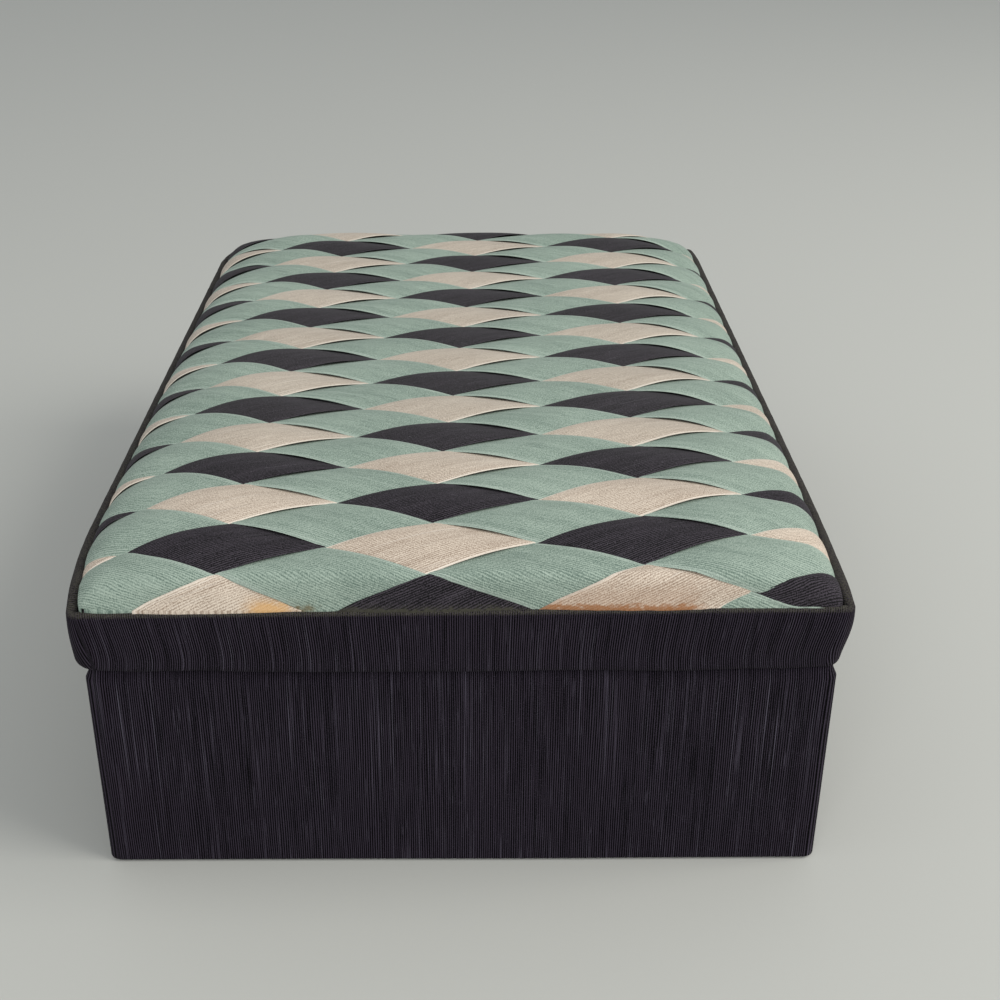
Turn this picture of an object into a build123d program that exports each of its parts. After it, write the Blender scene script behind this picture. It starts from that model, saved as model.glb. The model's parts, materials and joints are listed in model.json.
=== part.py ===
from build123d import *
import math
import os

# Cloth-covered keepsake box, all lengths in millimetres.
# The origin is at the middle of the underside, X across the width, Y from front to back,
# Z up. The base stands on its foot sheet and the lid drops over it.

# Driving sizes of the closed box
lid_width = 152.4
lid_depth = 228.6
base_height = 57.8
rim_height = 16.0

# Cloth, paper and card of the two shells
cloth = 0.4
tape = 0.15
base_board = 2.0
rim_board = 0.9
top_board = 1.6
pad_board = 1.2
lining_card = 0.6
lid_lining_sheet = 0.4
foot_paper = 0.3
base_corner_radius = 2.0
lid_corner_radius = 3.2

# Fits and laps
lid_clearance = 0.3
pad_clearance = 0.3
foot_inset = 3.0
under_turn = 14.0
inside_turn = 12.0
lining_drop = 2.5
tape_lap = 12.0

# Padded panel
lip_above_pad_board = 3.5
pad_board_inset = 0.8
pad_corner_radius = 5.0
edge_below_lip = 0.7
edge_rounding = 19.5
crown_rise = 9.2
edge_steepness_share = 0.9
soft_gap = 0.3

# Woven strips. A rising strip runs up to the right seen from above, a falling one down.
# Pitches and widths are measured along Y, and a slope is the rise in Y per length in X.
rising_pitch = 15.5
rising_start = -23.1
rising_slope_share = 0.401
falling_pitch = 16.25
falling_start = -24.3
falling_slope_share = -0.369
strip_width_share = 0.88
strip_thickness = 0.4
weave_height = 1.1
weave_flatness_share = 1.3
station_spacing = 2.5
end_overrun = 0.5
side_steps = 4

# Heights worked out from the sizes above
bottom_board_low = foot_paper + cloth
floor_lining_low = bottom_board_low + base_board
floor_level = floor_lining_low + lining_card
base_board_high = base_height - cloth
lid_board_low = base_height + lid_lining_sheet
lid_board_high = lid_board_low + top_board
pad_board_high = lid_board_high + pad_board
lip_height = pad_board_high + lip_above_pad_board
rim_low = lip_height - rim_height
pad_edge_height = lip_height - edge_below_lip

# Widths worked out from the sizes above
rim_wall = cloth + tape + rim_board + cloth
base_width = lid_width - 2 * (rim_wall + lid_clearance)
base_depth = lid_depth - 2 * (rim_wall + lid_clearance)
base_wall = cloth + tape + base_board
mat_width = lid_width - 2 * (rim_wall + pad_clearance)
mat_depth = lid_depth - 2 * (rim_wall + pad_clearance)


def slab(width, depth, radius, low, high):
    """A flat plate centred on the box, with rounded corners where the radius is not zero."""
    outline = RectangleRounded(width, depth, radius) if radius > 0 else Rectangle(width, depth)
    return Pos(0, 0, low) * extrude(outline, high - low)


def ring(width, depth, radius, wall, low, high):
    """A rectangular band whose outer face has the given width and depth."""
    inner_radius = max(radius - wall, 0)
    outer = slab(width, depth, radius, low, high)
    return outer - slab(width - 2 * wall, depth - 2 * wall, inner_radius, low, high)


def block(x_range, y_range, z_range):
    """A box between the given lowest and highest places."""
    size = [high - low for low, high in (x_range, y_range, z_range)]
    middle = [(high + low) / 2 for low, high in (x_range, y_range, z_range)]
    return Pos(*middle) * Box(*size)


def wall_boards(width, depth, radius, board, low, high):
    """Four boards of a frame: the long sides run through, the short sides stand between them."""
    half_width = width / 2
    half_depth = depth / 2
    inner_half = half_width - board
    z_range = (low, high)
    boards = {
        "left": block((-half_width, -inner_half), (-half_depth, half_depth), z_range),
        "right": block((inner_half, half_width), (-half_depth, half_depth), z_range),
        "front": block((-inner_half, inner_half), (-half_depth, board - half_depth), z_range),
        "back": block((-inner_half, inner_half), (half_depth - board, half_depth), z_range),
    }
    outline = slab(width, depth, radius, low, high)
    return {side: board & outline for side, board in boards.items()}


def corner_tapes(width, depth, radius, low, high):
    """Four folded paper tapes round the outside corners of a frame of boards."""
    band = ring(width, depth, radius, tape, low, high)
    tapes = []
    for x_side in (-1, 1):
        for y_side in (-1, 1):
            x_range = sorted((x_side * width / 2, x_side * (width / 2 - tape_lap)))
            y_range = sorted((y_side * depth / 2, y_side * (depth / 2 - tape_lap)))
            tapes += (band & block(x_range, y_range, (low, high))).solids()
    return Compound(tapes)


def base_cover():
    """The dark cloth of the base: outside, over the top edge, and under the bottom."""
    width, depth = base_width, base_depth
    radius = base_corner_radius
    inner_width = width - 2 * base_wall
    inner_depth = depth - 2 * base_wall
    outside = ring(width, depth, radius, cloth, foot_paper, base_height)
    top_turn = ring(width, depth, radius, base_wall + cloth, base_board_high, base_height)
    inner_turn = ring(inner_width, inner_depth, 0, cloth, base_height - inside_turn, base_height)
    bottom_turn = ring(width, depth, radius, under_turn, foot_paper, bottom_board_low)
    return outside + top_turn + inner_turn + bottom_turn


def rim_cover():
    """The dark cloth of the lid: outside, over the lip, and round the rim's lower edge."""
    width, depth = lid_width, lid_depth
    radius = lid_corner_radius
    board_wall = rim_wall - cloth
    inner_width = width - 2 * board_wall
    inner_depth = depth - 2 * board_wall
    outside = ring(width, depth, radius, cloth, rim_low, lip_height)
    lip_turn = ring(width, depth, radius, rim_wall, lip_height - cloth, lip_height)
    lip_inside = ring(inner_width, inner_depth, 0, cloth, lid_board_high, lip_height)
    low_turn = ring(width, depth, radius, rim_wall, rim_low, rim_low + cloth)
    rim_inside = ring(inner_width, inner_depth, 0, cloth, rim_low, lid_board_low)
    return outside + lip_turn + lip_inside + low_turn + rim_inside


def edge_share(inset):
    """Share of the crown's rise at a distance inside the padded panel's outline."""
    steep = edge_steepness_share
    start = math.sqrt(1 - steep**2)
    place = inset / edge_rounding
    if place >= 1:
        return 1
    if place < 0:
        return place * steep**2 / start / (1 - start)
    return (math.sqrt(1 - (steep * (1 - place)) ** 2) - start) / (1 - start)


def crown_height(x, y):
    """Middle height of the woven strips over the padded panel."""
    x_inset = mat_width / 2 - abs(x)
    y_inset = mat_depth / 2 - abs(y)
    rounding = min(edge_share(x_inset), 1) * min(edge_share(y_inset), 1)
    if x_inset < 0 or y_inset < 0:
        rounding = min(edge_share(x_inset), edge_share(y_inset))
    return pad_edge_height + crown_rise * rounding


def weave_share(place):
    """Height of a strip in its weave, from 1 over to -1 under, by its place in pitches."""
    flatness = weave_flatness_share
    return math.tanh(flatness * math.cos(math.pi * place)) / math.tanh(flatness)


def rising_place(x, y):
    """Number of the rising strip at a point, whole on a centre line."""
    return (y - rising_slope_share * x - rising_start) / rising_pitch


def falling_place(x, y):
    """Number of the falling strip at a point, whole on a centre line."""
    return (y - falling_slope_share * x - falling_start) / falling_pitch


def rising_height(x, y, number):
    """Underside height of a rising strip, which is over where both numbers are even or odd."""
    return crown_height(x, y) + weave_height * weave_share(falling_place(x, y) - number)


def falling_height(x, y, number):
    """Underside height of a falling strip, which is over where the numbers differ."""
    return crown_height(x, y) - weave_height * weave_share(rising_place(x, y) - number)


def smooth_face(grid):
    """A smooth face through a grid of points, as close as a small part of a strip's thickness."""
    tolerance = strip_thickness / 20
    return Face.make_surface_from_array_of_points(grid, tolerance, (1, 1, 1), 1, 6)


def strip(number, start, pitch, slope, height):
    """One folded cloth strip, which follows the crown and goes over and under the others."""
    reach = mat_width / 2 + end_overrun
    stations = math.ceil(2 * reach / station_spacing)
    half = pitch * strip_width_share / 2
    middle = start + pitch * number
    grid = []
    for station in range(stations + 1):
        x = reach * (2 * station / stations - 1)
        offsets = [half * (2 * step / side_steps - 1) for step in range(side_steps + 1)]
        places = [middle + slope * x + offset for offset in offsets]
        grid.append([(x, y, height(x, y, number)) for y in places])
    whole = extrude(smooth_face(grid), strip_thickness, (0, 0, 1))
    return whole & slab(mat_width, mat_depth, pad_corner_radius, lid_board_low, 2 * lip_height)


def wadding():
    """The crowned cushion between the pad board and the woven strips."""
    width = mat_width - 2 * pad_board_inset
    depth = mat_depth - 2 * pad_board_inset
    x_reach = mat_width / 2
    y_reach = mat_depth / 2
    x_stations = math.ceil(2 * x_reach / station_spacing)
    y_stations = math.ceil(2 * y_reach / station_spacing)
    grid = []
    for x_station in range(x_stations + 1):
        x = x_reach * (2 * x_station / x_stations - 1)
        ys = [y_reach * (2 * station / y_stations - 1) for station in range(y_stations + 1)]
        grid.append([(x, y, crown_height(x, y) - weave_height - soft_gap) for y in ys])
    body = extrude(smooth_face(grid), lip_height, (0, 0, -1))
    return body & slab(width, depth, pad_corner_radius, pad_board_high, 2 * lip_height)


def base_pieces():
    """All pieces of the base, from the foot sheet up."""
    board_width = base_width - 2 * (cloth + tape)
    board_depth = base_depth - 2 * (cloth + tape)
    board_radius = base_corner_radius - cloth - tape
    tape_radius = base_corner_radius - cloth
    room_width = base_width - 2 * base_wall
    room_depth = base_depth - 2 * base_wall
    lining_width = room_width - 2 * cloth
    lining_depth = room_depth - 2 * cloth
    foot_width = base_width - 2 * foot_inset
    foot_depth = base_depth - 2 * foot_inset
    pieces = {
        "foot_sheet": slab(foot_width, foot_depth, 0, 0, foot_paper),
        "base_cover": base_cover(),
        "bottom_board": slab(room_width, room_depth, 0, bottom_board_low, floor_lining_low),
        "floor_lining": slab(room_width, room_depth, 0, floor_lining_low, floor_level),
        "base_corner_tapes": corner_tapes(
            board_width + 2 * tape, board_depth + 2 * tape, tape_radius, bottom_board_low, base_board_high
        ),
    }
    boards = wall_boards(
        board_width, board_depth, board_radius, base_board, bottom_board_low, base_board_high
    )
    linings = wall_boards(
        lining_width, lining_depth, 0, lining_card, floor_level, base_height - lining_drop
    )
    pieces |= {f"base_{side}_board": board for side, board in boards.items()}
    pieces |= {f"{side}_wall_lining": lining for side, lining in linings.items()}
    return pieces


def lid_pieces():
    """The pieces of the lid shell and of its padded panel, but for the woven strips."""
    board_width = lid_width - 2 * (cloth + tape)
    board_depth = lid_depth - 2 * (cloth + tape)
    board_radius = lid_corner_radius - cloth - tape
    tape_radius = lid_corner_radius - cloth
    room_width = board_width - 2 * rim_board
    room_depth = board_depth - 2 * rim_board
    lining_width = room_width - 2 * cloth
    lining_depth = room_depth - 2 * cloth
    pad_width = mat_width - 2 * pad_board_inset
    pad_depth = mat_depth - 2 * pad_board_inset
    board_low = rim_low + cloth
    board_high = lip_height - cloth
    pieces = {
        "rim_cover": rim_cover(),
        "lid_lining": slab(lining_width, lining_depth, 0, base_height, lid_board_low),
        "lid_board": slab(room_width, room_depth, 0, lid_board_low, lid_board_high),
        "pad_board": slab(pad_width, pad_depth, pad_corner_radius, lid_board_high, pad_board_high),
        "pad_wadding": wadding(),
        "rim_corner_tapes": corner_tapes(
            board_width + 2 * tape, board_depth + 2 * tape, tape_radius, board_low, board_high
        ),
    }
    boards = wall_boards(board_width, board_depth, board_radius, rim_board, board_low, board_high)
    pieces |= {f"rim_{side}_board": board for side, board in boards.items()}
    return pieces


def strip_numbers(start, pitch, slope):
    """Numbers of the strips of one slant that reach past the panel's rounded corners."""
    reach = mat_depth / 2 - pad_corner_radius + pitch * strip_width_share / 2
    reach += abs(slope) * mat_width / 2
    return range(math.ceil((-reach - start) / pitch), math.floor((reach - start) / pitch) + 1)


def strip_pieces():
    """The woven strips: dark and cream ones rise in turn, and teal ones fall."""
    pieces = {}
    rising_numbers = strip_numbers(rising_start, rising_pitch, rising_slope_share)
    falling_numbers = strip_numbers(falling_start, falling_pitch, falling_slope_share)
    for order, number in enumerate(rising_numbers, 1):
        colour = "dark" if number % 2 == 0 else "cream"
        shape = strip(number, rising_start, rising_pitch, rising_slope_share, rising_height)
        pieces[f"{colour}_strip_{order:02d}"] = shape
    for order, number in enumerate(falling_numbers, 1):
        shape = strip(number, falling_start, falling_pitch, falling_slope_share, falling_height)
        pieces[f"teal_strip_{order:02d}"] = shape
    return pieces


os.makedirs("parts", exist_ok=True)
for name, shape in (base_pieces() | lid_pieces() | strip_pieces()).items():
    export_step(shape, f"parts/{name}.step")
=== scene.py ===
import json
import logging
import math
from dataclasses import dataclass
from enum import Enum, IntEnum
from functools import cache, cached_property
from typing import Any, Callable, Optional, Sequence, Union

import bpy
import numpy as np
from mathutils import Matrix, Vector, noise


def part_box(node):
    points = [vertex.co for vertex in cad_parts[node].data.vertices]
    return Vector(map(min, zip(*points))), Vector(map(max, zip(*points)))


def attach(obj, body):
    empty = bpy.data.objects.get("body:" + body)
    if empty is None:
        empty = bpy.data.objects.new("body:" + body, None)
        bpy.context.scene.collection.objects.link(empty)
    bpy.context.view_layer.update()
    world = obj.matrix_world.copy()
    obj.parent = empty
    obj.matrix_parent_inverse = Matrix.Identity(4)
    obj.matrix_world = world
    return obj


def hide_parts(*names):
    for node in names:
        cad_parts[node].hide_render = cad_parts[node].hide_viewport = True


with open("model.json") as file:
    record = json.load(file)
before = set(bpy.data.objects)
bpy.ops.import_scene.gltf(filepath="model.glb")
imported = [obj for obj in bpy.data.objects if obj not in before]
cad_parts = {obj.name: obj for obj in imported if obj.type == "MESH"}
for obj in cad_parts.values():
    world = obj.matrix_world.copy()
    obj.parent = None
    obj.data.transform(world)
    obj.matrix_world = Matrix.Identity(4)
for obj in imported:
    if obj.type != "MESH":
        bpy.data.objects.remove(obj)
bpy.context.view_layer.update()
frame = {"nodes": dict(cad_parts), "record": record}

# A cloth-covered keepsake box whose padded lid is woven from folded strips, in metres.
MM = 0.001
LID_LOW, LID_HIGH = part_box("rim_cover")
BASE_LOW, BASE_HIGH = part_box("base_cover")
PAD_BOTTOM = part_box("pad_wadding")[0].z
LOG = logging.getLogger("keepsake_box")

Pair = tuple[float, float]
Point = tuple[float, float, float]
Colour = tuple[float, float, float]


class Body(Enum):
    """The two bodies of the box."""

    BASE = "base"
    LID = "lid"


class Seed(IntEnum):
    """Numbers that tell one run of small irregularities from another."""

    RIPPLE = 3
    SMALL_RIPPLE = 5
    FRAY = 9
    SWELL = 11
    ROLL = 13
    LIFT = 31
    WOBBLE = 57


def clamped(value: float, low: float = 0.0, high: float = 1.0) -> float:
    """A value kept between two limits."""
    return min(max(value, low), high)


def between(first: float, second: float, share: float) -> float:
    """The value at a share of the way from the first to the second."""
    return first + (second - first) * share


def smooth_share(value: float) -> float:
    """A share from 0 to 1, eased at both ends."""
    share = clamped(value)
    return share * share * (3 - 2 * share)


def sine_share(value: float) -> float:
    """A share from 0 to 1 that rises at once and levels off."""
    return math.sin(math.pi / 2 * clamped(value))


def down_share(z: float) -> float:
    """How far down the rim a height lies, from 0 at the lip to 1 at the low edge."""
    return clamped((LID_HIGH.z - z) / (LID_HIGH.z - LID_LOW.z))


def halved(near: float, far: float, halvings: int, holds: Callable[[float], bool]) -> float:
    """The furthest value that still holds, found by halving.

    Args:
        near: Value that holds.
        far: Value that may not.
        halvings: How many times the stretch between them is halved.
        holds: Test of a value.

    Returns:
        The last value that held.
    """
    for _ in range(halvings):
        half = (near + far) / 2
        near, far = (half, far) if holds(half) else (near, half)
    return near


def wander(place: float, seed: float) -> float:
    """A smooth irregular value between about -1 and 1.

    Args:
        place: Distance along the piece in units of one wave.
        seed: Number that tells one piece's run from another's.

    Returns:
        The value at that place, the same on every run.
    """
    return 2 * noise.noise(Vector((place, seed * 7.31, seed * 1.77)))


def screen_colour(red: int, green: int, blue: int) -> Colour:
    """Linear colour of an 8-bit screen colour."""

    def linear(level: int) -> float:
        """Linear value of one screen level."""
        share = level / 255
        return share / 12.92 if share <= 0.04045 else ((share + 0.055) / 1.055) ** 2.4

    return linear(red), linear(green), linear(blue)


# Materials


class Shade:
    """A number socket of a material, whose arithmetic adds Math nodes."""

    def __init__(self, graph: "Graph", socket: bpy.types.NodeSocket) -> None:
        """Keeps the socket and the graph that it belongs to."""
        self.graph = graph
        self.socket = socket

    def __add__(self, other: "Number") -> "Shade":
        """This value plus another."""
        return self.graph.math("ADD", self, other)

    __radd__ = __add__

    def __sub__(self, other: "Number") -> "Shade":
        """This value less another."""
        return self.graph.math("SUBTRACT", self, other)

    def __rsub__(self, other: "Number") -> "Shade":
        """Another value less this one."""
        return self.graph.math("SUBTRACT", other, self)

    def __mul__(self, other: "Number") -> "Shade":
        """This value times another."""
        return self.graph.math("MULTIPLY", self, other)

    __rmul__ = __mul__

    def rises(self, low: float, high: float) -> "Shade":
        """An eased share that rises from 0 at one value to 1 at another."""
        settings = {"interpolation_type": "SMOOTHSTEP"}
        node = self.graph.node("ShaderNodeMapRange", settings, {0: self, 1: low, 2: high, 3: 0.0, 4: 1.0})
        return Shade(self.graph, node.outputs[0])

    def wave(self, length: float) -> "Shade":
        """A sine wave of this value with a given wave length, from -1 to 1."""
        return self.graph.math("SINE", self * (2 * math.pi / length))

    def size(self) -> "Shade":
        """This value without its sign."""
        return self.graph.math("ABSOLUTE", self)


Number = Union[Shade, float]


class Graph:
    """The nodes of one material."""

    def __init__(self, name: str) -> None:
        """Makes an empty material with a Principled shader."""
        self.material = bpy.data.materials.new(name)
        self.material.use_nodes = True
        self.tree = self.material.node_tree
        self.tree.nodes.clear()
        self.shader = self.node("ShaderNodeBsdfPrincipled")
        self.node("ShaderNodeOutputMaterial", inputs={0: self.shader.outputs[0]})

    def node(
        self,
        kind: str,
        settings: Optional[dict[str, Any]] = None,
        inputs: Optional[dict[Union[int, str], Any]] = None,
    ) -> bpy.types.Node:
        """Adds a node.

        Args:
            kind: Type name of the node.
            settings: Attributes that are set before its sockets.
            inputs: Values or links of its sockets, by number or name.

        Returns:
            The new node.
        """
        node = self.tree.nodes.new(kind)
        for key, value in (settings or {}).items():
            setattr(node, key, value)
        for key, value in (inputs or {}).items():
            source = value.socket if isinstance(value, Shade) else value
            if isinstance(source, bpy.types.NodeSocket):
                self.tree.links.new(source, node.inputs[key])
            else:
                node.inputs[key].default_value = source
        return node

    def math(self, operation: str, *values: Number) -> Shade:
        """The result of one Math node on the given values."""
        node = self.node("ShaderNodeMath", {"operation": operation}, dict(enumerate(values)))
        return Shade(self, node.outputs[0])

    @cached_property
    def place(self) -> bpy.types.NodeSocket:
        """Object coordinates of the piece."""
        return self.node("ShaderNodeTexCoord").outputs["Object"]

    @cached_property
    def cloth(self) -> bpy.types.NodeSocket:
        """The cloth's own coordinates in metres, along it and across it."""
        return self.node("ShaderNodeUVMap", {"uv_map": "cloth"}).outputs[0]

    def parts(self, place: bpy.types.NodeSocket) -> list[Shade]:
        """The three numbers of some coordinates."""
        node = self.node("ShaderNodeSeparateXYZ", inputs={0: place})
        return [Shade(self, socket) for socket in node.outputs]

    def noise(self, grain: Union[float, Pair, Point], detail: float = 2.0) -> Shade:
        """Smooth noise from about 0.3 to 0.7.

        Args:
            grain: Size of its grain in metres: along and across the cloth where it is a pair, along each
                axis of the piece where it is three sizes, and one size for all three where it is a number.
            detail: Number of finer layers.

        Returns:
            The noise value.
        """
        sizes = grain if isinstance(grain, tuple) else (grain, grain, grain)
        place = self.cloth if len(sizes) == 2 else self.place
        scale = tuple(1 / size for size in (*sizes, 1.0)[:3])
        inputs = {0: place, 1: scale}
        vector = self.node("ShaderNodeVectorMath", {"operation": "MULTIPLY"}, inputs).outputs[0]
        node = self.node("ShaderNodeTexNoise", inputs={"Vector": vector, "Scale": 1.0, "Detail": detail})
        return Shade(self, node.outputs[0])

    def mixed(self, share: Number, first: Any, second: Any) -> bpy.types.NodeSocket:
        """A colour between two colours.

        Args:
            share: Share of the second colour.
            first: Colour or colour socket at share 0.
            second: Colour or colour socket at share 1.

        Returns:
            The mixed colour's socket.
        """
        colours = [(*colour, 1.0) if isinstance(colour, tuple) else colour for colour in (first, second)]
        inputs = {"Factor": share, 6: colours[0], 7: colours[1]}
        return self.node("ShaderNodeMix", {"data_type": "RGBA"}, inputs).outputs[2]

    def bumped(self, height: Number, distance: float) -> bpy.types.NodeSocket:
        """A surface normal tilted by a height in shares of a distance."""
        inputs = {"Height": height, "Distance": distance, "Strength": 1.0}
        return self.node("ShaderNodeBump", inputs=inputs).outputs[0]

    def finished(self, links: dict[str, Any], values: dict[str, Any]) -> bpy.types.Material:
        """Joins the Principled shader.

        Args:
            links: Sockets or shades for the inputs that vary over the surface.
            values: Plain numbers and colours for inputs that don't.

        Returns:
            The material.
        """
        for key, value in links.items():
            source = value.socket if isinstance(value, Shade) else value
            self.tree.links.new(source, self.shader.inputs[key])
        for key, value in values.items():
            self.shader.inputs[key].default_value = (*value, 1.0) if isinstance(value, tuple) else value
        return self.material


@dataclass(frozen=True)
class CoverCloth:
    """Near-black slubbed rep that wraps both shells, ribbed across the wrap, with crests paler from wear and
    from a painted highlight.
    """

    name: str = "dark_cover_cloth"
    base: Colour = screen_colour(56, 49, 60)
    deep: Colour = screen_colour(1, 1, 2)
    pale: Colour = screen_colour(100, 95, 108)
    # pale colour of the crest: wear together with a painted highlight
    dust_and_sheen: Colour = screen_colour(86, 84, 72)
    rib: float = 0.45 * MM
    rib_sway: float = 0.86 * MM
    sway_grain: Pair = (6 * MM, 40 * MM)
    firm_grain: Pair = (2.4 * MM, 60 * MM)
    thread_grain: Pair = (0.24 * MM, 14 * MM)
    weft_grain: Pair = (0.3 * MM, 0.24 * MM)
    slub_grain: Pair = (0.2 * MM, 45 * MM)
    short_slub_grain: Pair = (0.22 * MM, 9 * MM)
    patch_grain: Pair = (11 * MM, 26 * MM)
    speck_grain: float = 0.24 * MM
    shade_grain: float = 34 * MM
    relief: float = 0.1 * MM
    rubbed_and_lit: float = 1.3 * MM

    def material(self) -> bpy.types.Material:
        """Builds the cloth from its ribs, slubs, thread grain, lint and a crest paler from wear and from a
        painted highlight.
        """
        graph = Graph(self.name)
        along, across, _ = graph.parts(graph.cloth)
        sway = graph.noise(self.sway_grain, 1.0) * self.rib_sway
        ribs = (along + sway).wave(self.rib) * 0.5 + 0.5
        firm = graph.noise(self.firm_grain).rises(0.34, 0.66) * 0.6 + 0.6
        thread = graph.noise(self.thread_grain) - 0.5
        weft = graph.noise(self.weft_grain) - 0.5
        strong = graph.noise(self.slub_grain, 1.0).rises(0.65, 0.71)
        short = graph.noise(self.short_slub_grain, 1.0).rises(0.66, 0.76)
        patch = graph.noise(self.patch_grain).rises(0.36, 0.64)
        slub = strong * 0.9 + short * (patch * 0.5 + 0.15)
        speck = graph.noise(self.speck_grain, 1.0)
        lint = speck.rises(0.68, 0.78)
        shade = graph.noise(self.shade_grain, 3.0) - 0.5
        depth = (ribs - 0.5) * firm * 2.1 + thread * 1.8 + weft * 1.6 + shade * 0.3 + 0.24
        dark = graph.mixed(depth, self.deep, self.base)
        worn = graph.mixed(slub * 0.75 + lint * 0.3, dark, self.pale)
        # crest of the wrap: paler, partly from wear and partly a painted highlight where grazing light
        # catches the fuzz on the lip
        crest = 1 - across.size().rises(self.rubbed_and_lit * 0.4, self.rubbed_and_lit)
        rubbed_and_lit = graph.mixed(crest * (speck.rises(0.36, 0.66) * 0.5 + 0.1), worn, self.dust_and_sheen)
        normal = graph.bumped(ribs * 0.5 + slub * 0.9 + thread * 0.5 + weft * 0.6, self.relief)
        return graph.finished(
            {"Base Color": rubbed_and_lit, "Normal": normal, "Roughness": 0.92 - slub * 0.15},
            {"Sheen Weight": 0.02, "Sheen Roughness": 0.5, "Specular IOR Level": 0.05},
        )


@dataclass(frozen=True)
class Stain:
    """A water mark low on the front edge of the weave, with a paler tint above it.

    Its left and right ends are places along the front, and its strong and faint parts reach up to their
    own heights above the edge of the weave.
    """

    colour: Colour
    left: float
    right: float
    strong: float
    faint: float
    tint: float
    full_share: float = 0.85
    end_ease: float = 2.5 * MM
    ragged_grain: Point = (1.5 * MM, 1.5 * MM, 0.7 * MM)
    ragged_along: float = 5 * MM
    ragged_up: float = 3.2 * MM
    clear_from: float = LID_LOW.y + 8 * MM
    clear_at: float = LID_LOW.y + 12 * MM

    def laid(self, graph: Graph, colour: bpy.types.NodeSocket, front: float) -> bpy.types.NodeSocket:
        """Lays the stain over a colour.

        Args:
            graph: Nodes of the cloth.
            colour: Colour of the cloth below it.
            front: Height of the weave's front edge.

        Returns:
            The colour with the stain.
        """
        x, y, z = graph.parts(graph.place)
        ragged = graph.noise(self.ragged_grain, 4.0) - 0.5
        moved = x + ragged * self.ragged_along
        started = moved.rises(self.left - self.end_ease, self.left + self.end_ease)
        ended = moved.rises(self.right - self.end_ease, self.right + self.end_ease)
        within = started * (1 - ended) * (1 - y.rises(self.clear_from, self.clear_at))
        above = z - front + ragged * self.ragged_up
        strong = 1 - above.rises(self.strong * 0.5, self.strong * 1.5)
        faint = 1 - above.rises(self.faint * 0.3, self.faint)
        share = within * (strong * (self.full_share - self.tint) + faint * self.tint)
        return graph.mixed(share, colour, self.colour)


@dataclass(frozen=True)
class StripCloth:
    """Folded strip cloth, whose ribs run along the strip."""

    name: str
    base: Colour
    deep: Colour
    pale: Colour
    streak: float
    rib_share: float
    sheen: float
    roughness: float
    # share of the pale colour in the painted highlight along the folds
    fold_highlight_share: float = 0.25
    lint: float = 0.2
    contrast: float = 1.0
    level: float = 0.55
    # share of the painted light and shade that greys the cloth towards the back of the lid
    painted_light_share: float = 0.0
    stains: tuple[Stain, ...] = ()
    # grey of the painted light and shade: lighter than dark cloth and darker than cream, reached further back
    # on the lid
    painted_light: Colour = screen_colour(150, 152, 143)
    painted_light_from: float = LID_LOW.y + 12 * MM
    painted_light_full: float = LID_LOW.y + 80 * MM
    # painted fold highlight: it starts this far off the middle and is full at the fold
    fold_highlight_from: float = 6.7 * MM
    fold_highlight_full: float = 7.05 * MM
    rib: float = 0.45 * MM
    rib_sway: float = 0.716 * MM
    sway_grain: Pair = (40 * MM, 5 * MM)
    thread_grain: Pair = (5 * MM, 0.22 * MM)
    weft_grain: Pair = (0.24 * MM, 0.34 * MM)
    streak_grain: Pair = (26 * MM, 0.3 * MM)
    broad_grain: Pair = (30 * MM, 2.4 * MM)
    speck_grain: float = 0.22 * MM
    shade_grain: float = 26 * MM
    lint_grain: Point = (0.5 * MM, 0.3 * MM, 0.3 * MM)
    relief: float = 0.07 * MM
    front: float = LID_HIGH.z - 2.1 * MM

    def material(self) -> bpy.types.Material:
        """Builds the cloth from its ribs, lengthwise streaks, a painted highlight along its folds, lint and
        stains.
        """
        graph = Graph(self.name)
        across = graph.parts(graph.cloth)[1]
        sway = graph.noise(self.sway_grain, 1.0) * self.rib_sway
        ribs = (across + sway).wave(self.rib) * 0.5 + 0.5
        thread = graph.noise(self.thread_grain) - 0.5
        weft = graph.noise(self.weft_grain) - 0.5
        speck = graph.noise(self.speck_grain) - 0.5
        streak = graph.noise(self.streak_grain).rises(0.62, 0.74)
        broad = graph.noise(self.broad_grain) - 0.5
        shade = graph.noise(self.shade_grain) - 0.5
        lint = graph.noise(self.lint_grain, 1.0).rises(0.7, 0.8)
        depth = (ribs - 0.5) * self.rib_share + thread + weft * 1.9 + speck * 1.9 + broad * 0.6
        cloth = graph.mixed(depth * self.contrast + shade * 0.5 + self.level, self.deep, self.base)
        # painted highlight: a thin pale band along each fold, standing in for light catching the rolled edge
        fold = across.size().rises(self.fold_highlight_from, self.fold_highlight_full)
        light = streak * self.streak + fold * self.fold_highlight_share + lint * self.lint
        # painted light and shade: the cloth is mixed towards a grey further back, standing in for the front
        # slope in shade and the grazing sheen at the back
        painted_light = graph.parts(graph.place)[1].rises(self.painted_light_from, self.painted_light_full) * self.painted_light_share
        cloth = graph.mixed(painted_light, graph.mixed(light, cloth, self.pale), self.painted_light)
        for stain in self.stains:
            cloth = stain.laid(graph, cloth, self.front)
        height = (ribs - 0.5) * self.rib_share * 0.7 + streak * 0.5 + thread * 0.5 + weft * 0.5
        normal = graph.bumped(height, self.relief)
        return graph.finished(
            {"Base Color": cloth, "Normal": normal, "Roughness": self.roughness - streak * 0.12},
            {"Sheen Weight": self.sheen, "Sheen Roughness": 0.4, "Specular IOR Level": 0.25},
        )


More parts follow.
